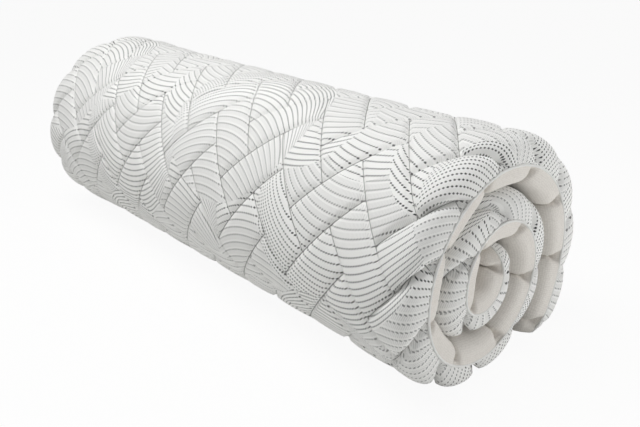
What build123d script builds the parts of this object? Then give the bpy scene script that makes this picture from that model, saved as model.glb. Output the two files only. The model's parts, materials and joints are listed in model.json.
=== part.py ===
# A rolled memory foam mattress: two quilted covers, two foam layers and the piping in their seam.
# The roll lies along X on the floor at Z = 0. Seen from +X, the sheet winds inwards anticlockwise.
import os
from math import ceil, cos, degrees, radians, sin, sqrt
from typing import NamedTuple

from build123d import *

# Mattress, in mm, with its width measured over the piping
mattress_width = 1400.0
mattress_thickness = 100.0
ticking_thickness = 13.0
wadding_thickness = 5.5
corner_wadding = 2.5
layer_gap = 0.8
piping_diameter = 5.0
piping_seat = 0.3

# Winding of the sheet's middle surface: quarter arcs that shrink by a quarter of the pitch each
turn_pitch = 106.0
outer_quarter_radius = 232.0
core_drop = 14.0
core_turn_radius = 58.0
tail_radius = 246.0
tail_angle = 33.0
floor_sag = 8.0

# Line across the sheet where its loose end lifts away from the roll, as an angle from +Y
lift_angle = 46.0
lift_gap = 0.9

# Quilting: herringbone blocks at 45 degrees on the outer cover, twice as long as wide, and petals
# along the edges of the lining
groove_depth = 9.0
quilt_block_width = 80.0
quilt_first_row = 43.4
petal_length = 150.0
petal_first_row = 121.0

QUARTER = 90.0
HALF_TURN = 180.0
FULL_TURN = 360.0
QUARTER_COUNT = 6
OUTER, INNER = 1, -1

# Sizes that follow from those above
half_thickness = mattress_thickness / 2
edge_x = mattress_width / 2 - piping_diameter - piping_seat
bullnose_x = edge_x - half_thickness
core_top = half_thickness - ticking_thickness - wadding_thickness - 2 * layer_gap
core_corner = half_thickness - ticking_thickness - 2 * layer_gap - corner_wadding
core_half_width = bullnose_x + sqrt(core_corner**2 - core_top**2)
piping_x = edge_x + piping_seat + piping_diameter / 2
quarter_step = turn_pitch / 4
groove_length = 3 * quilt_block_width


class Stretch(NamedTuple):
    """A stretch of the winding: an arc about a line along X, or a straight run where the radius is 0."""

    y: float
    z: float
    radius: float
    start: float
    end: float
    run: float = 0.0

    @property
    def length(self):
        return self.run or self.radius * radians(self.end - self.start)

    @property
    def axis(self):
        return Axis((0, self.y, self.z), (1, 0, 0))

    def plane(self, angle, along=0.0):
        """Section of the sheet: its X runs along the roll, its Y outwards and its Z along the winding."""
        outwards = Vector(0, cos(radians(angle)), sin(radians(angle)))
        forwards = Vector(0, -sin(radians(angle)), cos(radians(angle)))
        origin = Vector(0, self.y, self.z) + outwards * self.radius + forwards * along
        return Plane(origin, x_dir=(1, 0, 0), z_dir=forwards)

    @property
    def start_plane(self):
        return self.plane(self.start)

    @property
    def end_plane(self):
        return self.plane(self.end, self.run)


def wind_sheet():
    """The stretches of the loose end and of the roll, from the loose end inwards."""
    # The centres of the quarters walk round a square, one quarter step wide, about the roll's axis.
    # The roll's box is centred on Y = 0, and its lowest quarter is pressed flat on the floor.
    axis_y = -quarter_step
    lowest_radius = outer_quarter_radius - 2 * quarter_step
    axis_z = lowest_radius + half_thickness - quarter_step / 2 - floor_sag
    quarters = []
    y = axis_y + quarter_step / 2
    z = axis_z - quarter_step / 2
    radius = outer_quarter_radius
    for number in range(QUARTER_COUNT):
        end = (number + 1) * QUARTER
        quarters.append(Stretch(y, z, radius, end - QUARTER, end))
        y += quarter_step * cos(radians(end))
        z += quarter_step * sin(radians(end))
        radius -= quarter_step
    first, last = quarters[0], quarters[-1]

    # The core: a straight drop, then a half turn back up beside it
    core_y = last.y - last.radius
    core_z = last.z - core_drop
    drop = Stretch(core_y, last.z, 0.0, last.end, last.end, core_drop)
    core = Stretch(core_y + core_turn_radius, core_z, core_turn_radius, last.end, last.end + HALF_TURN)
    tail = Stretch(first.y + first.radius - tail_radius, first.z, tail_radius, -tail_angle, 0.0)

    slit = degrees(lift_gap / 2 / first.radius)
    loose_end = [tail, first._replace(end=lift_angle - slit)]
    roll = [first._replace(start=lift_angle + slit)] + quarters[1:] + [drop, core]
    return loose_end, roll


def free_edge(stretches):
    """The section at the sheet's own end, and whether the winding runs forwards or backwards out of it."""
    if stretches is loose_end:
        return stretches[0].start_plane, -1
    return stretches[-1].end_plane, 1


# Sections of the layers, on the outer or the inner side of the sheet's middle surface
def keep_side(side):
    with Locations((0, side * (half_thickness + layer_gap) / 2)):
        Rectangle(2 * edge_x, half_thickness, mode=Mode.INTERSECT)


def ticking_section(side):
    SlotOverall(2 * edge_x, mattress_thickness)
    inside_height = mattress_thickness - 2 * ticking_thickness
    SlotOverall(2 * (edge_x - ticking_thickness), inside_height, mode=Mode.SUBTRACT)
    keep_side(side)


def wadding_section(side):
    inset = ticking_thickness + layer_gap
    SlotOverall(2 * (edge_x - inset), mattress_thickness - 2 * inset)
    Rectangle(2 * (core_half_width + layer_gap), 2 * (core_top + layer_gap), mode=Mode.SUBTRACT)
    keep_side(side)


def foam_section(side):
    Rectangle(2 * core_half_width, 2 * core_top)
    keep_side(side)


class Groove(NamedTuple):
    """A sewn-in V with 45 degree sides, along an arc about an axis across its own plane."""

    centre: Vector
    outwards: Vector
    across: Vector
    radius: float
    turn: float

    @property
    def start_plane(self):
        return Plane(self.centre, x_dir=self.outwards, z_dir=self.outwards.cross(self.across))

    @property
    def axis(self):
        return Axis(self.centre, self.across)


def rows_between(first_row, step, passed, stretch):
    """Row numbers on a stretch, with the angle at which each row crosses it."""
    first = ceil((passed - first_row) / step)
    last = ceil((passed + stretch.length - first_row) / step)
    for row in range(first, last):
        yield row, stretch.start + degrees((first_row + row * step - passed) / stretch.radius)


def herringbone(stretch, passed):
    """The outer cover's stitched lines with their middles on this stretch, where the roll shows them."""
    row_step = quilt_block_width / sqrt(2)
    column_step = quilt_block_width * sqrt(2)
    outermost = int(bullnose_x / column_step)
    # A line at 45 degrees on a cylinder curves half as much as the cylinder does.
    line_radius = 2 * (stretch.radius + half_thickness)
    half_turn = groove_length / 2 / line_radius
    for row, angle in rows_between(quilt_first_row, row_step, passed, stretch):
        if angle > FULL_TURN - tail_angle:
            break
        section = stretch.plane(angle)
        slope = -1 if row % 2 else 1
        line = (Vector(1, 0, 0) + section.z_dir * slope).normalized()
        first_outwards = section.y_dir * cos(half_turn) - line * sin(half_turn)
        for column in range(-outermost, outermost + 1):
            if (row + column) % 2:
                surface = section.origin + section.y_dir * half_thickness + Vector(column * column_step, 0, 0)
                centre = surface - section.y_dir * line_radius
                across = section.y_dir.cross(line)
                yield Groove(centre, first_outwards, across, line_radius, degrees(2 * half_turn))


def petals(stretch, passed):
    """The lining's stitched lines, from the seam round both edges of the sheet."""
    for _, angle in rows_between(petal_first_row, petal_length, passed, stretch):
        section = stretch.plane(angle)
        for end in (Vector(1, 0, 0), Vector(-1, 0, 0)):
            centre = section.origin + end * bullnose_x
            yield Groove(centre, end, end.cross(-section.y_dir), half_thickness, QUARTER)


def wind_layer(stretches, section, side, pattern=None, passed=0.0):
    """One layer of the sheet, wound along its stretches, with the grooves of its pattern sewn in."""
    with BuildPart() as layer:
        for stretch in stretches:
            with BuildSketch(stretch.start_plane):
                section(side)
            if stretch.run:
                extrude(amount=stretch.run)
            else:
                revolve(axis=stretch.axis, revolution_arc=stretch.end - stretch.start)
        # The free edge across the sheet is rounded over to the seam
        edge, forwards = free_edge(stretches)
        with BuildSketch(edge):
            section(side)
        revolve(axis=Axis(edge.origin, edge.x_dir), revolution_arc=side * forwards * QUARTER)
        cutters = []
        for stretch in stretches:
            if pattern and stretch.radius > mattress_thickness:
                for groove in pattern(stretch, passed):
                    with BuildSketch(groove.start_plane):
                        with BuildLine():
                            bottom = (groove.radius - groove_depth, 0)
                            lip = groove_depth + layer_gap
                            rim = groove.radius + layer_gap
                            Polyline(bottom, (rim, lip), (rim, -lip), close=True)
                        make_face()
                    v_cut = revolve(axis=groove.axis, revolution_arc=groove.turn, mode=Mode.PRIVATE)
                    cutters.append(v_cut)
            passed += stretch.length
        if cutters:
            add(cutters, mode=Mode.SUBTRACT)
        if section is ticking_section and side == OUTER:
            split(bisect_by=Plane.XY, keep=Keep.TOP)
    return layer.part


def wind_piping(stretches):
    """The piping along both edges of the sheet and across its end, one unbroken cord."""
    with BuildPart() as piping:
        for stretch in stretches:
            with BuildSketch(stretch.start_plane):
                with Locations((-piping_x, 0), (piping_x, 0)):
                    Circle(piping_diameter / 2)
            if stretch.run:
                extrude(amount=stretch.run)
            else:
                revolve(axis=stretch.axis, revolution_arc=stretch.end - stretch.start)
        edge, forwards = free_edge(stretches)
        corner_radius = piping_x - bullnose_x
        with BuildLine(Plane(edge.origin, x_dir=edge.x_dir, z_dir=-edge.y_dir * forwards)):
            near = CenterArc((bullnose_x, 0), corner_radius, 0, QUARTER)
            far = CenterArc((-bullnose_x, 0), corner_radius, QUARTER, QUARTER)
            Line(near @ 1, far @ 0)
        with BuildSketch(edge):
            with Locations((piping_x, 0)):
                Circle(piping_diameter / 2)
        sweep()
    return piping.part


loose_end, roll = wind_sheet()
loose_length = sum(stretch.length for stretch in loose_end)
roll_length = sum(stretch.length for stretch in roll)

pieces = {}
for prefix, stretches, passed in (("", roll, loose_length + lift_gap), ("loose_end_", loose_end, 0.0)):
    pieces[prefix + "jacquard_ticking"] = wind_layer(stretches, ticking_section, OUTER, herringbone, passed)
    pieces[prefix + "outer_wadding"] = wind_layer(stretches, wadding_section, OUTER)
    pieces[prefix + "memory_foam"] = wind_layer(stretches, foam_section, OUTER)
    pieces[prefix + "support_foam"] = wind_layer(stretches, foam_section, INNER)
    pieces[prefix + "inner_wadding"] = wind_layer(stretches, wadding_section, INNER)
    pieces[prefix + "lining_ticking"] = wind_layer(stretches, ticking_section, INNER, petals, passed)
    pieces[prefix + "edge_piping"] = wind_piping(stretches)

os.makedirs("parts", exist_ok=True)
for name, piece in pieces.items():
    piece.label = name
    export_step(piece, f"parts/{name}.step")

sheet_length = loose_length + lift_gap + roll_length + mattress_thickness
print(f"unrolled sheet {sheet_length:.0f} x {mattress_width:.0f} x {mattress_thickness:.0f} mm")
lift_line = roll[0].plane(lift_angle)
lift_line = lift_line.origin + lift_line.y_dir * half_thickness
print(f"lift line at Y {lift_line.Y:.2f}, Z {lift_line.Z:.2f} mm")
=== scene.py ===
# %% [markdown]
# # A rolled memory foam mattress
#
# The real thing is a flat sheet: two quilted covers, sewn together round a core of foam, with
# piping in the seam. Only then is it rolled. Each piece here is made in the same order. It starts
# flat, gets its padding while it is flat, and is wound up last, so that the quilting follows the
# winding as it does on the real one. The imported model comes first, as the frame for everything.

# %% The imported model
import json
import math

import bmesh
import bpy
import numpy as np
from mathutils import Matrix, Vector


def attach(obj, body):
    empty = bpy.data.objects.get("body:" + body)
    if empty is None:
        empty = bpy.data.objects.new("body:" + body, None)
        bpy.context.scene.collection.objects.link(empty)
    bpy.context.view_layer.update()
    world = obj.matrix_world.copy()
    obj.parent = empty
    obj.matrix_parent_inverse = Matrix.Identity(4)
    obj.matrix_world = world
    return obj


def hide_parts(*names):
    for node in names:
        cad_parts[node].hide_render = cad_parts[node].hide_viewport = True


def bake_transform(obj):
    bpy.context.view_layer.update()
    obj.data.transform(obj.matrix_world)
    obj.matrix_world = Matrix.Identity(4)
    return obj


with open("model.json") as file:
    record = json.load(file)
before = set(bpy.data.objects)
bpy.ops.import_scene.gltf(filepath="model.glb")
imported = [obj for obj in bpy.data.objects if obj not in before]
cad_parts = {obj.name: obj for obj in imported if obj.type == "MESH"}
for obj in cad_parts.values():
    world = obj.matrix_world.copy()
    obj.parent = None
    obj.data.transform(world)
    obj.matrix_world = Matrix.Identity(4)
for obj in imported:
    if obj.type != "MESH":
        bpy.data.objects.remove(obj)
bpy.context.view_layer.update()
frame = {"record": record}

scene = bpy.context.scene

# %% [markdown]
# ## The winding
#
# A spiral could be sampled as a curve, but a curve has no simple inside and outside. This winding
# is a row of arcs, each tangent to the next: a tail, six quarter turns that shrink by a quarter of
# the pitch, a short drop and a half turn at the core. Any point of the flat sheet then has an
# exact place on the roll: how far along, how far across, and how far from the middle surface.

# %% Sizes of the sheet and of its winding, in metres and degrees
HALF_THICKNESS = 0.050
EDGE_X = 0.6947
BULLNOSE_X = EDGE_X - HALF_THICKNESS
TURN_PITCH = 0.106
OUTER_RADIUS = 0.232
QUARTERS = 6
CORE_DROP = 0.014
CORE_RADIUS = 0.058
TAIL_RADIUS = 0.246
TAIL_ANGLE = 33.0
FLOOR_SAG = 0.008
LIFT_ANGLE = 46.0
print(f"sheet {2 * EDGE_X:.3f} m wide and {2 * HALF_THICKNESS:.3f} m thick")

# %% The arcs: centre y and z, radius, first and last angle, straight run
step = TURN_PITCH / 4
axis_z = OUTER_RADIUS - 2 * step + HALF_THICKNESS - step / 2 - FLOOR_SAG
y, z, radius = -step / 2, axis_z - step / 2, OUTER_RADIUS
stretches = [(y + radius - TAIL_RADIUS, z, TAIL_RADIUS, -TAIL_ANGLE, 0, 0)]
for quarter in range(QUARTERS):
    end = 90 * (quarter + 1)
    stretches.append((y, z, radius, end - 90, end, 0))
    last_y, last_z, last_radius = y, z, radius
    y += step * math.cos(math.radians(end))
    z += step * math.sin(math.radians(end))
    radius -= step
core_y = last_y - last_radius
stretches.append((core_y, last_z, 0, end, end, CORE_DROP))
stretches.append((core_y + CORE_RADIUS, last_z - CORE_DROP, CORE_RADIUS, end, end + 180, 0))

lengths = [run or r * math.radians(b - a) for _, _, r, a, b, run in stretches]
SHEET_END = sum(lengths)
LIFT_AT = lengths[0] + OUTER_RADIUS * math.radians(LIFT_ANGLE)
print(f"path {SHEET_END:.3f} m, lift line at {LIFT_AT:.3f} m")

# %% From the flat sheet to the roll
TIP_START = 0.14
TIP_LIFT, TIP_LIFT_LENGTH = 0.023, 0.20
FLOOR_SOFTNESS = 0.006


def wind(x, s, n):
    """Points x across, s along and n out from the middle surface of the sheet, wound up."""
    points = np.stack([x, np.zeros_like(x), np.zeros_like(x)], axis=-1)
    # The tip of the loose end stands off the roll a little.
    n = n + TIP_LIFT * np.clip((TIP_START - s) / TIP_LIFT_LENGTH, 0, 1) ** 2
    passed = 0.0
    for number, (cy, cz, r, first, _, run) in enumerate(stretches):
        here = s >= passed if number else np.full(s.shape, True)
        along = np.clip(s - passed, 0, lengths[number])
        over = s - passed - along
        turn = math.radians(first) + (along / r if r else 0 * along)
        straight = over + (along if run else 0)
        points[here, 1] = (cy + (r + n) * np.cos(turn) - straight * np.sin(turn))[here]
        points[here, 2] = (cz + (r + n) * np.sin(turn) + straight * np.cos(turn))[here]
        passed += lengths[number]
    # Foam gives where it meets the floor, so low points are pressed up smoothly.
    low = points[:, 2] < FLOOR_SOFTNESS
    points[low, 2] = FLOOR_SOFTNESS * np.exp((points[low, 2] - FLOOR_SOFTNESS) / FLOOR_SOFTNESS)
    return points


# %% [markdown]
# ## Camera, light and floor
#
# The camera was worked out from the roll's spiral and outline. One large soft lamp hangs over the
# front of the roll, and a small one stands low before its open end. The sky is a little brighter
# at the horizon, which lifts the sides. Stronger lamps could make the background white, but they
# would bleach the cloth. So the sky and the paper floor only look white to the camera, light the
# roll at a plain level, and keep a trace of its shadow.

# %% Camera
YAW, PITCH = math.radians(42.85), math.radians(23.49)
forward = Vector((-math.cos(YAW) * math.cos(PITCH), math.sin(YAW) * math.cos(PITCH), -math.sin(PITCH)))
camera_data = bpy.data.cameras.new("camera")
camera_data.sensor_width = 36.0
camera_data.lens = 40.3
camera = bpy.data.objects.new("camera", camera_data)
camera.location = (1.3378, -1.0645, 0.6474 + axis_z)
camera.rotation_euler = forward.to_track_quat("-Z", "Y").to_euler()
scene.collection.objects.link(camera)
scene.camera = camera
scene.view_settings.view_transform = "Standard"
print("camera at", tuple(round(v, 3) for v in camera.location))


# %% One function for nodes, one for colours
def node(tree, kind, settings, *inputs, **named):
    """Adds a node, sets its settings, and gives its inputs, in order or by name, a link or a value."""
    made = tree.nodes.new(kind)
    for name, value in settings.items():
        setattr(made, name, value)
    sockets = list(zip(made.inputs, inputs))
    sockets += [(made.inputs[name], value) for name, value in named.items()]
    for socket, value in sockets:
        if isinstance(value, bpy.types.NodeSocket):
            tree.links.new(value, socket)
        elif value is not None:
            socket.default_value = value
    return made


def linear(code):
    """An sRGB hex colour as linear red, green, blue and 1."""
    parts = [int(code[i:i + 2], 16) / 255 for i in (1, 3, 5)]
    return tuple(c / 12.92 if c <= 0.04045 else ((c + 0.055) / 1.055) ** 2.4 for c in parts) + (1.0,)


def new_material(name):
    """A material with its node tree and its shader."""
    material = bpy.data.materials.new(name)
    material.use_nodes = True
    shader = material.node_tree.nodes["Principled BSDF"]
    return material, material.node_tree, shader


# %% Sky
HORIZON_LIGHT, ZENITH_LIGHT = 0.34, 0.28
WHITE = (1.0, 1.0, 1.0, 1.0)
world = bpy.data.worlds.new("studio_sky")
scene.world = world
world.use_nodes = True
sky = world.node_tree
sky.nodes.clear()
ray = node(sky, "ShaderNodeLightPath", {})
seen_or_glossy = node(sky, "ShaderNodeMath", {"operation": "MAXIMUM"}, ray.outputs["Is Camera Ray"],
                      ray.outputs["Is Glossy Ray"])
seen = node(sky, "ShaderNodeMath", {"operation": "MAXIMUM"}, seen_or_glossy.outputs[0],
            ray.outputs["Is Transmission Ray"])
direction = node(sky, "ShaderNodeTexCoord", {})
upwards = node(sky, "ShaderNodeSeparateXYZ", {}, direction.outputs["Generated"])
level = node(sky, "ShaderNodeMapRange", {}, upwards.outputs[2], 0.0, 1.0, HORIZON_LIGHT, ZENITH_LIGHT)
strength = node(sky, "ShaderNodeMix", {}, seen.outputs[0], None, level.outputs[0], 1.0)
shine = node(sky, "ShaderNodeBackground", {}, WHITE, strength.outputs[0])
node(sky, "ShaderNodeOutputWorld", {}, shine.outputs[0])
print("sky nodes", len(sky.nodes))


# %% Lamps
def softbox(name, size, watts, place, aim):
    """A rectangular lamp at a place, turned towards the point that it aims at."""
    data = bpy.data.lights.new(name, "AREA")
    data.shape = "RECTANGLE"
    data.size, data.size_y = size
    data.energy = watts
    lamp = bpy.data.objects.new(name, data)
    lamp.location = place
    lamp.rotation_euler = (Vector(aim) - lamp.location).to_track_quat("-Z", "Y").to_euler()
    scene.collection.objects.link(lamp)
    print(name, watts, "W")


softbox("large_softbox", (1.8, 1.4), 39.5, (-0.10, -0.75, 2.4), (0.0, 0.0, 0.2))
softbox("small_softbox", (1.2, 0.5), 14.0, (2.3, 1.1, 0.3), (0.7, 0.0, 0.25))

# %% Floor
FLOOR_GLOW = 0.93
FLOOR_REACH, FLOOR_DROP = 20.0, 0.0005
paper, tree, shader = new_material("studio_paper")
shader.inputs["Base Color"].default_value = linear("#F4F4F2")
shader.inputs["Roughness"].default_value = 0.9
ray = node(tree, "ShaderNodeLightPath", {})
share = node(tree, "ShaderNodeMath", {"operation": "MULTIPLY"}, ray.outputs["Is Camera Ray"], FLOOR_GLOW)
glow = node(tree, "ShaderNodeEmission", {}, WHITE, 1.0)
both = node(tree, "ShaderNodeMixShader", {}, share.outputs[0], shader.outputs[0], glow.outputs[0])
tree.links.new(both.outputs[0], tree.nodes["Material Output"].inputs["Surface"])


def mesh_object(bm, name):
    """An object at the origin whose mesh is what a bmesh holds. The bmesh is used up."""
    mesh = bpy.data.meshes.new(name)
    bm.to_mesh(mesh)
    bm.free()
    made = bpy.data.objects.new(name, mesh)
    scene.collection.objects.link(made)
    return made


bm = bmesh.new()
bmesh.ops.create_grid(bm, x_segments=1, y_segments=1, size=FLOOR_REACH)
bmesh.ops.translate(bm, verts=bm.verts, vec=(0, 0, -FLOOR_DROP))
floor = mesh_object(bm, "floor")
floor.data.materials.append(paper)
print("floor", 2 * FLOOR_REACH, "m wide")

# %% [markdown]
# ## Jacquard knit
#
# The outer cover is a jacquard knit of polyester yarn: matt and white, with a faint sheen, and with
# thin broken lines of grey thread in fans that overlap like waves. The pattern belongs to the cloth,
# so it reads the cloth's own flat coordinates, which each cover keeps as an attribute. Each fan is a
# disc. The discs are laid over each other in order, and the arcs are then drawn from whichever disc
# lies on top. Rings round a disc's middle would leave a bullseye wherever a middle shows, so the
# arcs of a fan are one arc, moved on by a step each time.

# %% Jacquard: which fan lies on top
FAN_PERIOD, FAN_ROWS = 0.73, 1.0
ROLL_STRETCH = 1.2
# Each fan: place across and along, reach, and step between its outermost arcs, negative for a bowl
fans = [
    (0.285, 0.985, 0.200, 0.0082),
    (0.685, 0.985, 0.200, 0.0082),
    (0.485, 0.890, 0.205, -0.0092),
    (0.485, 0.690, 0.120, -0.0098),
    (0.300, 0.705, 0.130, -0.0084),
    (0.670, 0.705, 0.130, -0.0084),
    (0.110, 0.750, 0.205, 0.0088),
]

jacquard, tree, shader = new_material("jacquard_knit")
cloth = node(tree, "ShaderNodeAttribute", {"attribute_name": "cloth"})
flat = node(tree, "ShaderNodeVectorMath", {"operation": "MULTIPLY"}, cloth.outputs["Vector"],
            (1.0, ROLL_STRETCH, 0.0))
top = flat.outputs[0]
for across, along, reach, spacing in fans:
    for row in (0, 1):
        x = across + row * FAN_PERIOD / 2
        t = along + row * FAN_ROWS / 2
        high = (x + FAN_PERIOD / 2, t + FAN_ROWS / 2, 1.0)
        low = (x - FAN_PERIOD / 2, t - FAN_ROWS / 2, -1.0)
        inside = node(tree, "ShaderNodeVectorMath", {"operation": "WRAP"}, flat.outputs[0], high, low)
        # The third coordinate carries the fan's step along with the place in the fan.
        local = node(tree, "ShaderNodeVectorMath", {"operation": "SUBTRACT"}, inside.outputs[0],
                     (x, t, -spacing))
        far = node(tree, "ShaderNodeVectorMath", {"operation": "LENGTH"}, local.outputs[0])
        covers = node(tree, "ShaderNodeMath", {"operation": "LESS_THAN"}, far.outputs["Value"], reach)
        mix = node(tree, "ShaderNodeMix", {"data_type": "VECTOR"}, covers.outputs[0], None, None, None,
                   top, local.outputs[0])
        top = mix.outputs[1]
print("fans", len(fans), "nodes so far", len(tree.nodes))

# %% Jacquard: arcs, which lie further apart towards the inside of a fan
ARC_RADIUS = 0.215
GROWTH, GROWN = 0.040, 0.220
split = node(tree, "ShaderNodeSeparateXYZ", {}, top)
bent = node(tree, "ShaderNodeMath", {"operation": "DIVIDE"}, split.outputs[0], ARC_RADIUS)
angle = node(tree, "ShaderNodeMath", {"operation": "ARCSINE"}, bent.outputs[0])
bow = node(tree, "ShaderNodeMath", {"operation": "COSINE"}, angle.outputs[0])
way = node(tree, "ShaderNodeMath", {"operation": "SIGN"}, split.outputs[2])
rim_step = node(tree, "ShaderNodeMath", {"operation": "ABSOLUTE"}, split.outputs[2])
upright = node(tree, "ShaderNodeMath", {"operation": "MULTIPLY"}, split.outputs[1], way.outputs[0])
deep = node(tree, "ShaderNodeMath", {"operation": "MULTIPLY_ADD"}, bow.outputs[0], ARC_RADIUS,
            upright.outputs[0])
grown = node(tree, "ShaderNodeMath", {"operation": "MINIMUM"}, deep.outputs[0], GROWN)
past = node(tree, "ShaderNodeMath", {"operation": "SUBTRACT"}, deep.outputs[0], grown.outputs[0])
step_size = node(tree, "ShaderNodeMath", {"operation": "MULTIPLY_ADD"}, grown.outputs[0], GROWTH,
                 rim_step.outputs[0])
ratio = node(tree, "ShaderNodeMath", {"operation": "DIVIDE"}, step_size.outputs[0], rim_step.outputs[0])
exponent = node(tree, "ShaderNodeMath", {"operation": "LOGARITHM"}, ratio.outputs[0], math.e)
growing_arcs = node(tree, "ShaderNodeMath", {"operation": "DIVIDE"}, exponent.outputs[0], GROWTH)
even_arcs = node(tree, "ShaderNodeMath", {"operation": "DIVIDE"}, past.outputs[0], step_size.outputs[0])
arcs = node(tree, "ShaderNodeMath", {"operation": "ADD"}, growing_arcs.outputs[0], even_arcs.outputs[0])
ring = node(tree, "ShaderNodeMath", {"operation": "FRACT"}, arcs.outputs[0])
print("arcs of radius", ARC_RADIUS, "m, nodes so far", len(tree.nodes))

# %% Jacquard: dotted lines
# The real stitches lie 4 to 5 mm apart. The dots are drawn about half as large again, so that they
# still show from far away. Each dot leans a little, which gives the line its jagged look.
DASH, DRAWN, LEAN, LINE_WIDTH = 0.0066, 0.60, 0.0032, 0.0032
DASH_SHIFT = 0.382
INSIDE_START = 0.70 * GROWN
INSIDE_LINES = 0.65
spaced = node(tree, "ShaderNodeMath", {"operation": "MULTIPLY"}, angle.outputs[0], ARC_RADIUS / DASH)
number = node(tree, "ShaderNodeMath", {"operation": "FLOOR"}, arcs.outputs[0])
shifted = node(tree, "ShaderNodeMath", {"operation": "MULTIPLY_ADD"}, number.outputs[0], DASH_SHIFT,
               spaced.outputs[0])
dash = node(tree, "ShaderNodeMath", {"operation": "FRACT"}, shifted.outputs[0])
drawn = node(tree, "ShaderNodeMath", {"operation": "LESS_THAN"}, dash.outputs[0], DRAWN)
beside = node(tree, "ShaderNodeMath", {"operation": "MULTIPLY"}, ring.outputs[0], step_size.outputs[0])
leaned = node(tree, "ShaderNodeMath", {"operation": "MULTIPLY_ADD"}, dash.outputs[0], -LEAN,
              beside.outputs[0])
stripe = node(tree, "ShaderNodeMath", {"operation": "COMPARE"}, leaned.outputs[0], LINE_WIDTH / 2,
              LINE_WIDTH / 2)
dots = node(tree, "ShaderNodeMath", {"operation": "MULTIPLY"}, stripe.outputs[0], drawn.outputs[0])
dark = node(tree, "ShaderNodeMapRange", {}, grown.outputs[0], INSIDE_START, GROWN, 1.0, INSIDE_LINES)
line = node(tree, "ShaderNodeMath", {"operation": "MULTIPLY"}, dots.outputs[0], dark.outputs[0])
print(f"dots {DASH * 1000:.1f} mm apart, nodes so far {len(tree.nodes)}")

# %% Jacquard: a pale hatch between the lines inside the fans, and the colours
HATCH, HATCH_DASH, HATCH_SLANT, HATCH_BAND = 0.21, 0.0030, 2.0, 0.80
fine = node(tree, "ShaderNodeMath", {"operation": "MULTIPLY"}, angle.outputs[0], ARC_RADIUS / HATCH_DASH)
slanted = node(tree, "ShaderNodeMath", {"operation": "MULTIPLY_ADD"}, ring.outputs[0], HATCH_SLANT,
               fine.outputs[0])
tooth = node(tree, "ShaderNodeMath", {"operation": "FRACT"}, slanted.outputs[0])
hatched = node(tree, "ShaderNodeMath", {"operation": "LESS_THAN"}, tooth.outputs[0], 0.5)
band = node(tree, "ShaderNodeMath", {"operation": "LESS_THAN"}, ring.outputs[0], HATCH_BAND)
hatch = node(tree, "ShaderNodeMath", {"operation": "MULTIPLY"}, band.outputs[0], hatched.outputs[0])
pale = node(tree, "ShaderNodeMapRange", {}, grown.outputs[0], INSIDE_START, GROWN, 0.0, HATCH)
haze = node(tree, "ShaderNodeMath", {"operation": "MULTIPLY"}, hatch.outputs[0], pale.outputs[0])
grey = node(tree, "ShaderNodeMath", {"operation": "MAXIMUM"}, line.outputs[0], haze.outputs[0])
tone = node(tree, "ShaderNodeMix", {"data_type": "RGBA"}, grey.outputs[0], None, None, None, None, None,
            linear("#F3F3F1"), linear("#101012"))
tree.links.new(tone.outputs[2], shader.inputs["Base Color"])
shader.inputs["Roughness"].default_value = 0.85
shader.inputs["Sheen Weight"].default_value = 0.15
print("jacquard nodes", len(tree.nodes))

# %% [markdown]
# ## Plain knits and foam
#
# The lining is a fine warm beige knit, matt with a small regular stitch. The piping is a white
# woven tape round a cord, and the thread a twisted yarn, coloured grey as painted shade for the
# crease it lies in: both look matt and finely grained.
# Foam and fibre stay hidden inside, in their usual colours. Cells give the knit its stitch. For the
# rest a little noise is enough, because a plain colour would look like paint.

# %% Lining knit
# The real stitch is 1 to 2 mm wide, too fine to show at this size, so it is drawn coarser.
STITCH = 0.0045
lining_knit, tree, shader = new_material("beige_lining_knit")
cloth = node(tree, "ShaderNodeAttribute", {"attribute_name": "cloth"})
stitches = node(tree, "ShaderNodeTexVoronoi", {}, cloth.outputs["Vector"], Scale=1 / STITCH,
                Randomness=0.35)
tone = node(tree, "ShaderNodeMix", {"data_type": "RGBA"}, stitches.outputs["Distance"],
            None, None, None, None, None, linear("#F3EFE9"), linear("#D3CEC7"))
tree.links.new(tone.outputs[2], shader.inputs["Base Color"])
shader.inputs["Roughness"].default_value = 0.9
shader.inputs["Sheen Weight"].default_value = 0.15
bump = node(tree, "ShaderNodeBump", {"invert": True}, Strength=0.5, Distance=0.0006,
            Height=stitches.outputs["Distance"])
tree.links.new(bump.outputs[0], shader.inputs["Normal"])
print(f"lining stitch {STITCH * 1000:.1f} mm")


# %% Piping, thread, foam and fibre
def plain_material(name, dark, pale, grain):
    """A matt material whose colour wanders between two tones, with a grain of that size in metres."""
    material, tree, shader = new_material(name)
    place = node(tree, "ShaderNodeTexCoord", {})
    noise = node(tree, "ShaderNodeTexNoise", {}, place.outputs["Object"], Scale=1 / grain)
    tone = node(tree, "ShaderNodeMix", {"data_type": "RGBA"}, noise.outputs[0],
                None, None, None, None, None, linear(dark), linear(pale))
    tree.links.new(tone.outputs[2], shader.inputs["Base Color"])
    shader.inputs["Roughness"].default_value = 0.9
    bump = node(tree, "ShaderNodeBump", {}, Strength=0.5, Distance=grain / 5, Height=noise.outputs[0])
    tree.links.new(bump.outputs[0], shader.inputs["Normal"])
    print(f"{name}: grain {grain * 1000:.1f} mm")
    return material


piping_tape = plain_material("woven_piping_tape", "#E2E2E0", "#F4F4F2", 0.0016)
# The thread's grey is painted shade: the real thread is near white, and the grey stands in for the
# shadow in the crease where it lies.
thread = plain_material("thread_grey_as_painted_crease_shade", "#747472", "#90908E", 0.0010)
memory_foam = plain_material("viscoelastic_foam", "#E9DFC2", "#F2EAD2", 0.0020)
support_foam = plain_material("support_foam", "#DCE2E8", "#E9EDF1", 0.0025)
fibre = plain_material("polyester_fibre", "#EDEDEB", "#FAFAF8", 0.0040)

# %% [markdown]
# ## Flat panels
#
# Each cover is cut as one flat panel with round corners. Its border is the seam. The panel wraps
# over the sheet's round edge, so it is a quarter of that circle wider than the sheet's flat part
# on every side. A grid could be snapped to that outline, but cutting it with planes keeps every
# cell square, and the outline stays exact.

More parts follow.
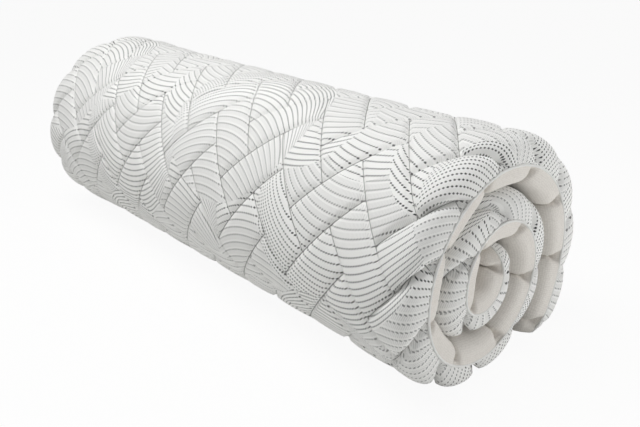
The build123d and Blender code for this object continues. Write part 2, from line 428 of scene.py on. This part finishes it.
# %% Cutting a grid to the panel
WRAP = HALF_THICKNESS * math.pi / 2
CORNER_CUTS = 6
TOUCHING = 1e-6


def cut_at(bm, point, out, clear):
    """Cuts a bmesh with a plane, and clears what lies on its outer side where asked."""
    geometry = bm.verts[:] + bm.edges[:] + bm.faces[:]
    bmesh.ops.bisect_plane(bm, geom=geometry, dist=TOUCHING, plane_co=point, plane_no=out,
                           clear_outer=clear)


def cut_panel(bm):
    """Trims a flat grid to the panel's outline, a rectangle with round corners."""
    middle = SHEET_END / 2
    for side_x in (-1, 1):
        for side_s in (-1, 1):
            corner = Vector((side_x * BULLNOSE_X, middle + side_s * middle, 0))
            for cut in range(CORNER_CUTS + 1):
                turn = math.radians(90 * cut / CORNER_CUTS)
                out = Vector((side_x * math.cos(turn), side_s * math.sin(turn), 0))
                cut_at(bm, corner + out * WRAP, out, True)


def coordinates(mesh):
    """The places of a mesh's vertices, one row each."""
    values = np.empty(len(mesh.vertices) * 3)
    mesh.vertices.foreach_get("co", values)
    return values.reshape(-1, 3)


# %% [markdown]
# ## Padding
#
# A quilted pad gets its shape from cloth that is held at the stitches and pushed out in between.
# Here the flat panel is a stretchy knit, sewn down along its lines. Gravity points up for a moment,
# and each block rises into its own pillow. The foam behind the knit fills the blocks out to steep
# sides, which a power of the height gives later, once the panel is fine enough for it.

# %% Raising the blocks
FRAMES = 18
CLOTH_QUALITY = 6
STRETCH, BENDING = 1.0, 0.05
UPWARD_PULL = 9.8
TOP_PERCENTILE = 92


def raise_blocks(panel, sewn):
    """Heights from 0 on the sewn vertices to 1 on top of the blocks, from a cloth simulation."""
    group = panel.vertex_groups.new(name="sewn")
    group.add([int(i) for i in np.flatnonzero(sewn)], 1.0, "REPLACE")
    cloth = panel.modifiers.new("cloth", "CLOTH")
    cloth.settings.vertex_group_mass = "sewn"
    cloth.settings.quality = CLOTH_QUALITY
    cloth.settings.tension_stiffness = STRETCH
    cloth.settings.compression_stiffness = STRETCH
    cloth.settings.shear_stiffness = STRETCH
    cloth.settings.bending_stiffness = BENDING
    cloth.collision_settings.use_collision = False
    cloth.point_cache.frame_end = FRAMES
    gravity = scene.gravity.copy()
    scene.gravity = (0, 0, UPWARD_PULL)
    for number in range(1, FRAMES + 1):
        scene.frame_set(number)
    risen = panel.evaluated_get(bpy.context.evaluated_depsgraph_get())
    height = coordinates(risen.data)[:, 2]
    scene.gravity = gravity
    panel.modifiers.remove(cloth)
    scene.frame_set(1)
    peak = np.percentile(height, TOP_PERCENTILE)
    print(f"{panel.name}: {len(height)} points, blocks rose {peak * 1000:.1f} mm")
    return np.clip(height / peak, 0, 1)


# %% [markdown]
# ## Outer cover
#
# The stitched lines make a herringbone of blocks, twice as long as wide, at 45 degrees. A grid that
# is turned by 45 degrees has its own edges along every line, so each line can be a sharp crease.
# One level of subdivision rounds the blocks between the creases.

# %% The panel
BLOCK = 0.080
CELLS = 6
CELL = BLOCK / CELLS
FIRST_ROW = 0.0434
MIDDLE_ROW = 16
panel_middle = FIRST_ROW + MIDDLE_ROW * BLOCK / math.sqrt(2)
grid_cells = 2 * math.ceil((SHEET_END / 2 + BULLNOSE_X + 2 * WRAP) / math.sqrt(2) / CELL)

bm = bmesh.new()
bmesh.ops.create_grid(bm, x_segments=grid_cells, y_segments=grid_cells, size=grid_cells * CELL / 2)
bmesh.ops.rotate(bm, cent=(0, 0, 0), matrix=Matrix.Rotation(math.radians(45), 3, "Z"), verts=bm.verts)
bmesh.ops.translate(bm, verts=bm.verts, vec=(0, panel_middle, 0))
cut_panel(bm)
outer_flat = mesh_object(bm, "outer_flat")
outer_points = coordinates(outer_flat.data)
print("outer panel", len(outer_points), "points")

# %% Its stitched lines
NEAR_LINE = 0.01


def on_stitches(x, s):
    """Whether flat points lie on a stitched line: 3 blocks long, a gap of 1 block, in two directions."""
    a = (x + s - panel_middle) / math.sqrt(2) / BLOCK
    b = (x - s + panel_middle) / math.sqrt(2) / BLOCK
    rising, falling = np.rint(b), np.rint(a - 0.5)
    off_rising = (a - rising - 2 * ((rising + 1) % 2) + 2) % 4 - 2
    off_falling = (b - falling + 0.5 + 2 * (falling % 2) + 2) % 4 - 2
    is_rising = (abs(b - rising) < NEAR_LINE) & (abs(off_rising) < 1.5 + NEAR_LINE)
    is_falling = (abs(a - 0.5 - falling) < NEAR_LINE) & (abs(off_falling) < 1.5 + NEAR_LINE)
    return is_rising, is_falling


def edge_ends(mesh):
    """The two vertices of every edge of a mesh, one row each."""
    ends = np.empty(len(mesh.edges) * 2, dtype=np.int64)
    mesh.edges.foreach_get("vertices", ends)
    return ends.reshape(-1, 2)


def stitched_edges(mesh, points):
    """Which edges run along a stitched line: their ends and their middle lie on it."""
    ends = edge_ends(mesh)
    middle = (points[ends[:, 0]] + points[ends[:, 1]]) / 2
    first = on_stitches(points[ends[:, 0], 0], points[ends[:, 0], 1])
    second = on_stitches(points[ends[:, 1], 0], points[ends[:, 1], 1])
    centre = on_stitches(middle[:, 0], middle[:, 1])
    return (first[0] & second[0] & centre[0]) | (first[1] & second[1] & centre[1])


def border_of(mesh):
    """Which vertices lie on the open border of a mesh."""
    bm = bmesh.new()
    bm.from_mesh(mesh)
    found = np.array([v.is_boundary for v in bm.verts])
    bm.free()
    return found


rising, falling = on_stitches(outer_points[:, 0], outer_points[:, 1])
print("stitched points", int((rising | falling).sum()), "of", len(outer_points))

# %% Its padding, creased along the lines
# Heights are small beside the panel, so subdivision gets them in the panel's own units.
RISE = 0.014
BLOCK_FULLNESS = 0.22


def subdivided(panel, height, creased):
    """The panel's mesh with its heights and one level of subdivision, sharp along creased edges."""
    points = coordinates(panel.data)
    points[:, 2] = height
    panel.data.vertices.foreach_set("co", points.ravel())
    crease = panel.data.attributes.new("crease_edge", "FLOAT", "EDGE")
    crease.data.foreach_set("value", creased.astype(np.float32))
    rounder = panel.modifiers.new("rounder", "SUBSURF")
    rounder.levels = rounder.render_levels = 1
    bpy.context.view_layer.update()
    evaluated = panel.evaluated_get(bpy.context.evaluated_depsgraph_get())
    return bpy.data.meshes.new_from_object(evaluated)


def outer_height(x, s, rise):
    """Heights of the blocks, filled out to flat tops and steep sides."""
    return np.clip(rise / RISE, 0, 1) ** BLOCK_FULLNESS


outer_rise = raise_blocks(outer_flat, rising | falling | border_of(outer_flat.data))
outer_mesh = subdivided(outer_flat, outer_rise * RISE, stitched_edges(outer_flat.data, outer_points))
print("outer cover", len(outer_mesh.polygons), "faces")

# %% [markdown]
# ## Winding the covers
#
# A flat point goes over the sheet's round edge, sinks by its share of the quilting's depth, and is
# then wound up. The panel is cut at the line where the loose end lifts. Both pieces keep the
# smooth normals that they had along that line, so no join shows at rest.

# %% How full the sheet is, and how deep its lines are
# The fibre stands fuller than the plain layers, and most of it is on the outer side.
OUTER_CREST = 0.0582
LINING_CREST = 0.0452
END_CREST = 0.0562
# The cover is fuller on the loose end, most of all at its tip, and less full far from the seam.
TAIL_PUFF, TAIL_PUFF_START, TAIL_PUFF_LENGTH = 0.011, 0.41, 0.24
TIP_PUFF = 0.006
MIDDLE_DIP, DIP_LENGTH = 0.0065, 0.25
# Lines are shallow in the middle of the roll, deeper near its ends and deepest on the round edge.
MIDDLE_DEPTH = 0.0080
NEAR_DEPTH, NEAR_START, NEAR_LENGTH = 0.0065, 0.28, 0.18
EDGE_DEPTH, EDGE_START, EDGE_LENGTH = 0.013, WRAP + 0.025, 0.045
LINING_DEPTH = 0.028


def seam_distance(x, s):
    """How far flat points lie from the seam."""
    over_x = np.abs(x) - BULLNOSE_X
    over_s = np.maximum(-s, s - SHEET_END)
    beyond = np.hypot(np.maximum(over_x, 0), np.maximum(over_s, 0))
    within = -np.maximum(over_x, over_s)
    return WRAP - beyond + np.maximum(within, 0)


def smooth_step(t):
    """An even rise from 0 to 1."""
    t = np.clip(t, 0, 1)
    return t * t * (3 - 2 * t)


def outer_depth(seam):
    """Depth of the outer cover's lines, at a distance from the seam."""
    near = NEAR_DEPTH * smooth_step((NEAR_START - seam) / NEAR_LENGTH)
    return MIDDLE_DEPTH + near + EDGE_DEPTH * smooth_step((EDGE_START - seam) / EDGE_LENGTH)


def outer_crest(seam, s):
    """How far the tops of the outer cover stand from the middle surface."""
    crest = OUTER_CREST - MIDDLE_DIP * smooth_step((seam - WRAP) / DIP_LENGTH)
    crest = crest + TAIL_PUFF * smooth_step((TAIL_PUFF_START - s) / TAIL_PUFF_LENGTH)
    return crest + TIP_PUFF * smooth_step((TIP_START - s) / TIP_START)


print(f"outer lines up to {outer_depth(WRAP / 2) * 1000:.1f} mm deep")

# %% Over the edge and round the winding
OUTER_SQUARENESS, LINING_SQUARENESS = 2.9, 3.0
OUTER_FADE, LINING_FADE = 0.022, 0.024
SEAM_DEPTH = END_CREST - HALF_THICKNESS - 0.0007
TAIL_FULLNESS = 1.45


def cover_points(x, s, height, side):
    """Flat points with heights from 0 to 1, taken over the sheet's full edge and wound up."""
    seam = seam_distance(x, s)
    if side > 0:
        power, fade, depth, crest = OUTER_SQUARENESS, OUTER_FADE, outer_depth(seam), outer_crest(seam, s)
    else:
        power, fade, depth, crest = LINING_SQUARENESS, LINING_FADE, LINING_DEPTH, LINING_CREST
    sink = (SEAM_DEPTH + (depth - SEAM_DEPTH) * smooth_step(seam / fade)) * (1 - height)
    over_x = np.maximum(np.abs(x) - BULLNOSE_X, 0)
    over_s = np.maximum(np.maximum(-s, s - SHEET_END), 0)
    beyond = np.hypot(over_x, over_s)
    turn = np.minimum(beyond / HALF_THICKNESS, math.pi / 2)
    square = (np.cos(turn) ** power + np.sin(turn) ** power) ** (-1 / power)
    reach = (END_CREST - sink) * square * np.sin(turn) / np.maximum(beyond, 1e-9)
    across = np.sign(x) * (np.minimum(np.abs(x), BULLNOSE_X) + over_x * reach)
    past = over_s * reach
    along = np.clip(s, 0, SHEET_END) + np.where(s < 0, -past * TAIL_FULLNESS, past)
    return wind(across, along, side * (crest - sink) * square * np.cos(turn))


# %% A wound sheet
def own_values(mesh, name, kind, domain, values):
    """Keeps an array of values on a mesh as an attribute."""
    field = "vector" if kind == "FLOAT_VECTOR" else "value"
    mesh.attributes.new(name, kind, domain).data.foreach_set(field, values.ravel())


def wound_sheet(name, mesh, lines, height, side):
    """A flat mesh with its full heights, cut along the lift line, wound up, and sharp on its lines."""
    flat = coordinates(mesh)
    flat[:, 2] = height(*flat.T)
    mesh.vertices.foreach_set("co", flat.ravel())
    bm = bmesh.new()
    bm.from_mesh(mesh)
    cut_at(bm, (0, LIFT_AT, 0), (0, 1, 0), False)
    sheet = bpy.data.meshes.new(name)
    bm.to_mesh(sheet)
    bm.free()
    flat = coordinates(sheet)
    own_values(sheet, "sharp_edge", "BOOLEAN", "EDGE", lines(sheet, flat))
    own_values(sheet, "cloth", "FLOAT_VECTOR", "POINT", flat * (1, 1, 0))
    sheet.vertices.foreach_set("co", cover_points(*flat.T, side).ravel())
    # The winding turns the sheet's faces over, so the outer side's faces are turned back.
    if side > 0:
        sheet.flip_normals()
    sheet.update()
    normals = np.empty(len(flat) * 3)
    sheet.vertex_normals.foreach_get("vector", normals)
    own_values(sheet, "whole_normal", "FLOAT_VECTOR", "POINT", normals)
    return sheet


# %% Its two pieces
KNIT_THICKNESS = 0.0012
ON_LIFT_LINE = 1e-5


def own_vectors(mesh, name):
    """The vectors that a mesh keeps as an attribute of its vertices, one row each."""
    values = np.empty(len(mesh.vertices) * 3)
    mesh.attributes[name].data.foreach_get("vector", values)
    return values.reshape(-1, 3)


def cover_piece(name, sheet, inwards, material):
    """The part of a wound sheet on one side of the lift line, given the knit's thickness."""
    bm = bmesh.new()
    bm.from_mesh(sheet)
    flat = bm.verts.layers.float_vector["cloth"]
    doomed = [f for f in bm.faces if sum((v[flat].y - LIFT_AT) * inwards for v in f.verts) < 0]
    bmesh.ops.delete(bm, geom=doomed, context="FACES")
    faces = len(bm.faces)
    piece = mesh_object(bm, name)
    knit = piece.modifiers.new("knit", "SOLIDIFY")
    knit.thickness, knit.offset = KNIT_THICKNESS, -1
    thick = bpy.data.meshes.new_from_object(piece.evaluated_get(bpy.context.evaluated_depsgraph_get()))
    piece.modifiers.remove(knit)
    piece.data = thick
    thick.name = name
    thick.polygons.foreach_set("use_smooth", np.full(len(thick.polygons), True))
    thick.materials.append(material)

    # Along the lift line the outer side keeps the normals of the whole sheet, so no join shows there.
    corner = np.empty(len(thick.loops), dtype=np.int64)
    thick.loops.foreach_get("vertex_index", corner)
    on_line = np.abs(own_vectors(thick, "cloth")[:, 1] - LIFT_AT) < ON_LIFT_LINE
    last = thick.polygons[faces - 1]
    outside = np.arange(len(corner)) < last.loop_start + last.loop_total
    kept = own_vectors(thick, "whole_normal")[corner] * (on_line[corner] & outside)[:, None]
    thick.normals_split_custom_set(kept)
    thick.attributes.remove(thick.attributes["whole_normal"])
    print(name, len(thick.polygons), "faces")
    return piece


outer_sheet = wound_sheet("outer_sheet", outer_mesh, stitched_edges, outer_height, 1)
outer_cover = cover_piece("outer_cover", outer_sheet, 1, jacquard)
loose_outer_cover = cover_piece("loose_end_outer_cover", outer_sheet, -1, jacquard)
bpy.data.objects.remove(outer_flat)

# %% [markdown]
# ## Quilting thread
#
# One thread runs along the bottom of every stitched line. It is drawn thicker than real thread,
# which would not show at this size, and darker: its grey is painted shade for the crease. Each
# thread could be a curve, but a straight rod on the flat panel is simpler: it is cut where the
# panel ends or the loose end begins, and wound like the cover.

# %% Threads, in two pieces
THREAD_RADIUS = 0.0008
THREAD_HEIGHT = 0.0003
THREAD_SIDES = 5
THREAD_CUTS = 29
LINE_LENGTH = 3 * BLOCK
row_step, column_step = BLOCK / math.sqrt(2), BLOCK * math.sqrt(2)
columns = math.ceil((BULLNOSE_X + WRAP) / column_step)
first_row = math.floor((-WRAP - FIRST_ROW) / row_step) - 1
last_row = math.ceil((SHEET_END + WRAP - FIRST_ROW) / row_step) + 1


def thread_piece(name, inwards):
    """The threads of the roll or of the loose end."""
    bm = bmesh.new()
    for row in range(first_row, last_row + 1):
        slope = math.radians(-45 if row % 2 else 45)
        turn = Matrix.Rotation(slope, 4, "Z") @ Matrix.Rotation(math.radians(90), 4, "Y")
        for column in range(-columns, columns + 1):
            if (row + column) % 2:
                middle = (column * column_step, FIRST_ROW + row * row_step, THREAD_HEIGHT)
                bmesh.ops.create_cone(bm, cap_ends=True, segments=THREAD_SIDES, radius1=THREAD_RADIUS,
                                      radius2=THREAD_RADIUS, depth=LINE_LENGTH,
                                      matrix=Matrix.Translation(middle) @ turn)
    lengthwise = [e for e in bm.edges if e.calc_length() > LINE_LENGTH / 2]
    bmesh.ops.subdivide_edges(bm, edges=lengthwise, cuts=THREAD_CUTS, use_grid_fill=True)
    cut_at(bm, (0, LIFT_AT, 0), (0, -inwards, 0), True)
    cut_panel(bm)
    bmesh.ops.holes_fill(bm, edges=[e for e in bm.edges if e.is_boundary])
    for face in bm.faces:
        face.smooth = len(face.verts) == 4
    piece = mesh_object(bm, name)
    x, s, height = coordinates(piece.data).T
    wound = cover_points(x, s, height / outer_depth(seam_distance(x, s)), 1)
    piece.data.vertices.foreach_set("co", wound.ravel())
    piece.data.materials.append(thread)
    print(name, len(piece.data.polygons), "faces")
    return piece


threads = thread_piece("quilting_thread", 1)
loose_threads = thread_piece("loose_end_quilting_thread", -1)

# %% [markdown]
# ## Lining
#
# The lining is plain but for short sewn lines in from the seam, which leave a row of petals along
# the edges. Its grid lies square, with an edge of a cell on every line. The cloth is held at the
# seam, the lines and the flat middle, and the petals rise between them.

# %% The lining's panel, with its cells crowded along the edges and the lines
PETAL = 0.150
FIRST_PETAL = 0.121
PETAL_CELLS = 14
PETAL_REACH = 0.135
EDGE_CELLS = 18
MIDDLE_CELLS = 20
CROWDING = 0.5
SPARE_CLOTH = 0.004
lining_cells = 2 * EDGE_CELLS + MIDDLE_CELLS
middle_share = MIDDLE_CELLS / lining_cells
edge_start = BULLNOSE_X + WRAP - PETAL_REACH
rows = 2 * math.ceil((SHEET_END / 2 + 2 * WRAP) / PETAL)
middle_petal = FIRST_PETAL + PETAL * round((SHEET_END / 2 - FIRST_PETAL) / PETAL)

bm = bmesh.new()
bmesh.ops.create_grid(bm, x_segments=lining_cells, y_segments=rows * PETAL_CELLS, size=0.5)
for vertex in bm.verts:
    side = abs(vertex.co.x) * 2
    if side < middle_share:
        across = edge_start * side / middle_share
    else:
        across = edge_start + (PETAL_REACH + SPARE_CLOTH) * (side - middle_share) / (1 - middle_share)
    row = vertex.co.y * rows
    row -= CROWDING * math.sin(2 * math.pi * row) / (2 * math.pi)
    vertex.co = (math.copysign(across, vertex.co.x), middle_petal + row * PETAL, 0)
cut_panel(bm)
lining_flat = mesh_object(bm, "lining_flat")
lining_points = coordinates(lining_flat.data)
print("lining panel", len(lining_points), "points")

# %% Its petals
NEAR_PETAL_LINE = 0.004
PETAL_RISE = 0.020


def off_petal_line(s):
    """How far points along the sheet lie from the nearest petal line, in petals."""
    row = (s - FIRST_PETAL) / PETAL
    return np.abs(row - np.rint(row))


def on_petal_lines(x, s):
    """Whether flat points lie on a petal line."""
    return (off_petal_line(s) < NEAR_PETAL_LINE) & (np.abs(x) > edge_start - 1e-4)


def petal_edges(mesh, points):
    """Which edges run along a petal line."""
    ends = edge_ends(mesh)
    on_line = on_petal_lines(points[:, 0], points[:, 1])
    along_line = abs(points[ends[:, 0], 1] - points[ends[:, 1], 1]) < 1e-5
    return on_line[ends[:, 0]] & on_line[ends[:, 1]] & along_line


petal_lines = on_petal_lines(lining_points[:, 0], lining_points[:, 1])
inland = seam_distance(lining_points[:, 0], lining_points[:, 1]) > PETAL_REACH
lining_rise = raise_blocks(lining_flat, petal_lines | inland | border_of(lining_flat.data))
lining_creases = petal_edges(lining_flat.data, lining_points)
lining_mesh = subdivided(lining_flat, lining_rise * PETAL_RISE, lining_creases)

# %% Its flat middle and its winding
# The lines are deep on the round edge and shallow on the flat, and open to a wedge at the seam.
PETAL_FULLNESS = 0.22
FLAT_DEPTH, FLAT_START, FLAT_LENGTH = 0.014, 0.062, 0.030
RUN_OUT_START = 0.075
WEDGE_WIDTH, WEDGE_EASE, WEDGE_LENGTH = 0.007, 0.015, 0.044


def petal_height(x, s, rise):
    """Heights of the petals, which run out into the flat middle and are held down in the wedges."""
    seam = seam_distance(x, s)
    opened = np.clip(1 - seam / WEDGE_LENGTH, 0, 1)
    off_line = off_petal_line(s) * PETAL
    held = smooth_step((off_line - WEDGE_WIDTH * opened) / (WEDGE_EASE * opened + TOUCHING))
    height = held * np.clip(rise / PETAL_RISE, 0, 1) ** PETAL_FULLNESS
    shallow = smooth_step((seam - FLAT_START) / FLAT_LENGTH) * (1 - FLAT_DEPTH / LINING_DEPTH)
    ramp = smooth_step((seam - RUN_OUT_START) / (PETAL_REACH - RUN_OUT_START))
    return 1 - (1 - height) * (1 - shallow) * (1 - ramp)


lining_sheet = wound_sheet("lining_sheet", lining_mesh, petal_edges, petal_height, -1)
lining_cover = cover_piece("lining_cover", lining_sheet, 1, lining_knit)
loose_lining_cover = cover_piece("loose_end_lining_cover", lining_sheet, -1, lining_knit)
bpy.data.objects.remove(lining_flat)

# %% [markdown]
# ## Piping
#
# The piping is one cord in the seam, round the whole sheet. A curve with a bevel could follow the
# seam, but it would not know the winding. So a tube starts as a flat strip, is closed round its own
# line, follows the panel's round corners, and is wound like the covers.

# %% The line of the seam
PIPING_RADIUS = 0.0025
PIPING_SEAT = 0.0003
PIPING_X = EDGE_X + PIPING_SEAT + PIPING_RADIUS
PIPING_CORNER = PIPING_X - BULLNOSE_X


def seam_line(distance, straight):
    """Flat points on the seam, going up one edge, across the end and back, with the way out of it."""
    arc = PIPING_CORNER * math.pi / 2
    legs = [straight, arc, 2 * BULLNOSE_X, arc, straight]
    starts = np.concatenate([[0], np.cumsum(legs)])
    leg = np.clip(np.searchsorted(starts, distance, side="right") - 1, 0, 4)
    part = distance - starts[leg]
    turns = [0, part / PIPING_CORNER, math.pi / 2, math.pi / 2 + part / PIPING_CORNER]
    turn = np.select([leg == 0, leg == 1, leg == 2, leg == 3], turns, math.pi)
    x = np.select([leg < 2, leg == 2], [BULLNOSE_X, BULLNOSE_X - part], -BULLNOSE_X)
    s = np.select([leg == 0, leg == 4], [part, straight - part], straight)
    return x, s, turn


# %% A tube along it, in two pieces
PIPING_SIDES = 10
PIPING_STEP = 0.008


def piping_piece(name, straight, flip):
    """The piping from the lift line round one end of the sheet and back."""
    total = 2 * straight + 2 * BULLNOSE_X + math.pi * PIPING_CORNER
    bm = bmesh.new()
    bmesh.ops.create_grid(bm, x_segments=PIPING_SIDES, y_segments=round(total / PIPING_STEP), size=0.5)
    strip = np.array([vertex.co for vertex in bm.verts], dtype=np.float64)
    x, s, turn = seam_line((strip[:, 1] + 0.5) * total, straight)
    round_it = (strip[:, 0] + 0.5) * 2 * math.pi
    out = PIPING_CORNER + PIPING_RADIUS * np.cos(round_it)
    along = s + out * np.sin(turn)
    along = LIFT_AT - along if flip else LIFT_AT + along
    along = np.where(along < 0, along * TAIL_FULLNESS, along)
    wound = wind(x + out * np.cos(turn), along, PIPING_RADIUS * np.sin(round_it))
    for vertex, place in zip(bm.verts, wound):
        vertex.co = place
    bmesh.ops.remove_doubles(bm, verts=bm.verts, dist=1e-5)
    bmesh.ops.recalc_face_normals(bm, faces=bm.faces)
    for face in bm.faces:
        face.smooth = True
    piece = mesh_object(bm, name)
    piece.data.materials.append(piping_tape)
    print(f"{name}: {total:.2f} m")
    return piece


piping = piping_piece("seam_piping", SHEET_END - LIFT_AT, False)
loose_piping = piping_piece("loose_end_seam_piping", LIFT_AT, True)

# %% [markdown]
# ## Foam and fibre inside
#
# None of this shows, but the mattress is built of it. Each layer is a plain slab, cut into short
# lengths so that it can follow the winding.

# %% Slabs
# Each layer: lowest and highest place, half width there, material and CAD node
FOAM_X, TAPERED_X, FIBRE_X = 0.648, 0.605, 0.598
LAYERS = {
    "memory_foam_layer": (0.0005, 0.0295, FOAM_X, FOAM_X, memory_foam, "memory_foam"),
    "outer_fibre_layer": (0.0302, 0.0360, FOAM_X, FIBRE_X, fibre, "outer_wadding"),
    "support_foam_layer": (-0.0295, -0.0005, TAPERED_X, FOAM_X, support_foam, "support_foam"),
    "lining_fibre_layer": (-0.0340, -0.0302, FIBRE_X, TAPERED_X, fibre, "inner_wadding"),
}
SLAB_CUTS = 160
SLAB_OVERHANG = 0.028


def slab(name, first, last, low, high, low_x, high_x, material):
    """One layer between two places along the sheet, wound up."""
    bm = bmesh.new()
    bmesh.ops.create_cube(bm, size=1.0)
    for vertex in bm.verts:
        vertex.co.x *= 2 * (high_x if vertex.co.z > 0 else low_x)
    bmesh.ops.scale(bm, vec=(1, last - first, high - low), verts=bm.verts)
    bmesh.ops.translate(bm, verts=bm.verts, vec=(0, (first + last) / 2, (low + high) / 2))
    lengthwise = [e for e in bm.edges if abs(e.verts[0].co.y - e.verts[1].co.y) > TOUCHING]
    bmesh.ops.subdivide_edges(bm, edges=lengthwise, cuts=SLAB_CUTS, use_grid_fill=True)
    piece = mesh_object(bm, name)
    wound = wind(*coordinates(piece.data).T)
    piece.data.vertices.foreach_set("co", wound.ravel())
    piece.data.materials.append(material)
    return piece


layers = {}
for name, (low, high, low_x, high_x, material, cad_node) in LAYERS.items():
    shape = (low, high, low_x, high_x, material)
    layers[cad_node] = slab(name, LIFT_AT, SHEET_END + SLAB_OVERHANG, *shape)
    layers["loose_end_" + cad_node] = slab("loose_end_" + name, -SLAB_OVERHANG, LIFT_AT, *shape)
print("slabs", len(layers))

# %% [markdown]
# ## What moves with what
#
# The roll's pieces ride on the roll. The loose end's pieces stay where they are made, with their
# places baked into their meshes.

dressing = [
    (outer_cover, loose_outer_cover, "jacquard_ticking", "jacquard_knit", 0.8),
    (lining_cover, loose_lining_cover, "lining_ticking", "lining_knit", 0.8),
    (piping, loose_piping, "edge_piping", "piping", None),
]
slots = {s["node"]: s["material_slot"] for s in frame["record"]["subparts"]}
for *_, cad_node in LAYERS.values():
    dressing.append((layers[cad_node], layers["loose_end_" + cad_node], cad_node, slots[cad_node], 1.0))
for piece, loose_piece, cad_node, slot, fill in dressing:
    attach(piece, "roll")
    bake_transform(loose_piece)
    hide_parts(cad_node)
    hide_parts("loose_end_" + cad_node)

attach(threads, "roll")
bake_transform(loose_threads)
print("dressed", 2 * len(dressing), "nodes")
